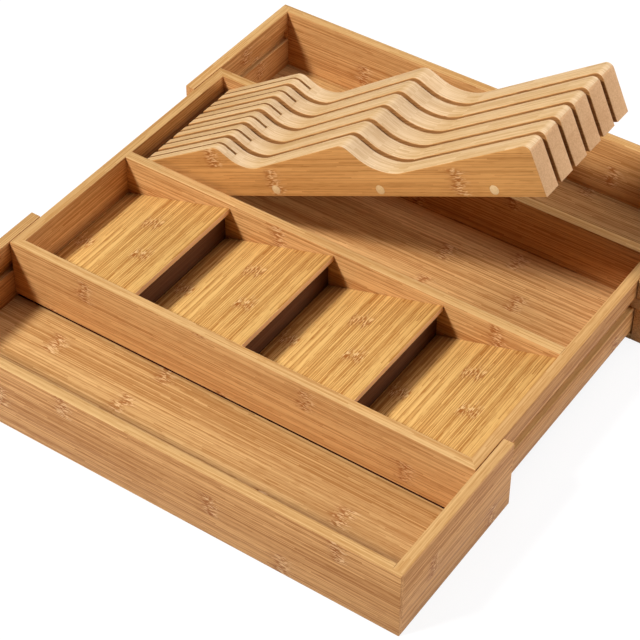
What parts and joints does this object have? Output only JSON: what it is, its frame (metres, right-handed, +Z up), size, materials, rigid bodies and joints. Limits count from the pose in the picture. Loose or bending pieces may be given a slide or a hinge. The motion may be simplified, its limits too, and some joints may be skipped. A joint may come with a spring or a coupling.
{
  "type": "expandable drawer organizer",
  "caption": "Bamboo drawer organizer with a stepped spice rack, a lift-out wave-topped knife block, and front and rear trays that slide out to fill the drawer",
  "frame": {"origin": "middle of the footprint, on the drawer's floor, with both extension trays drawn out", "axes": "+X along the long boards towards the high edges of the spice shelves, +Y from the spice rack to the knife block, +Z up"},
  "size_m": [0.449, 0.502, 0.2294],
  "materials": {
    "board": "oiled laminated bamboo, satin",
    "panel": "oiled laminated bamboo panel, satin",
    "shelf": "oiled laminated bamboo panel, satin",
    "slat": "sanded and oiled bamboo, satin",
    "dowel": "pale turned bamboo, satin",
    "strip": "planed bamboo, satin"
  },
  "bodies": {
    "centre_tray": {"centre_left_end": "board", "centre_right_end": "board", "centre_front_board": "board", "centre_rear_board": "board", "centre_divider": "board", "centre_floor": "panel", "spice_shelf_1": "shelf", "spice_shelf_2": "shelf", "spice_shelf_3": "shelf", "spice_shelf_4": "shelf", "shelf_riser_1": "board", "shelf_riser_2": "board", "shelf_riser_3": "board", "shelf_riser_4": "board", "shelf_bearer_1": "strip", "shelf_bearer_2": "strip", "shelf_bearer_3": "strip", "shelf_bearer_4": "strip"},
    "front_tray": {"front_tray_board": "board", "front_tray_left_side": "board", "front_tray_right_side": "board", "front_tray_floor": "panel", "front_tray_left_guide": "strip", "front_tray_right_guide": "strip"},
    "rear_tray": {"rear_tray_board": "board", "rear_tray_left_side": "board", "rear_tray_right_side": "board", "rear_tray_floor": "panel", "rear_tray_left_guide": "strip", "rear_tray_right_guide": "strip"},
    "knife_block": {"knife_slat_1": "slat", "knife_slat_2": "slat", "knife_slat_3": "slat", "knife_slat_4": "slat", "knife_slat_5": "slat", "knife_slat_6": "slat", "block_dowel_1": "dowel", "block_dowel_2": "dowel", "block_dowel_3": "dowel", "block_spacers": "dowel"}
  },
  "joints": [
    {"name": "front_tray_slide", "type": "slide", "parent": "centre_tray", "child": "front_tray", "axis": [0, 1, 0], "range_m": [0, 0.1015]},
    {"name": "rear_tray_slide", "type": "slide", "parent": "centre_tray", "child": "rear_tray", "axis": [0, -1, 0], "range_m": [0, 0.1015]},
    {"name": "knife_block_tilt", "type": "hinge", "parent": "centre_tray", "child": "knife_block", "pos_m": [-0.2077, 0.0691, 0.0392], "axis": [0, -1, 0], "range_deg": [-25.1, 15]}
  ]
}
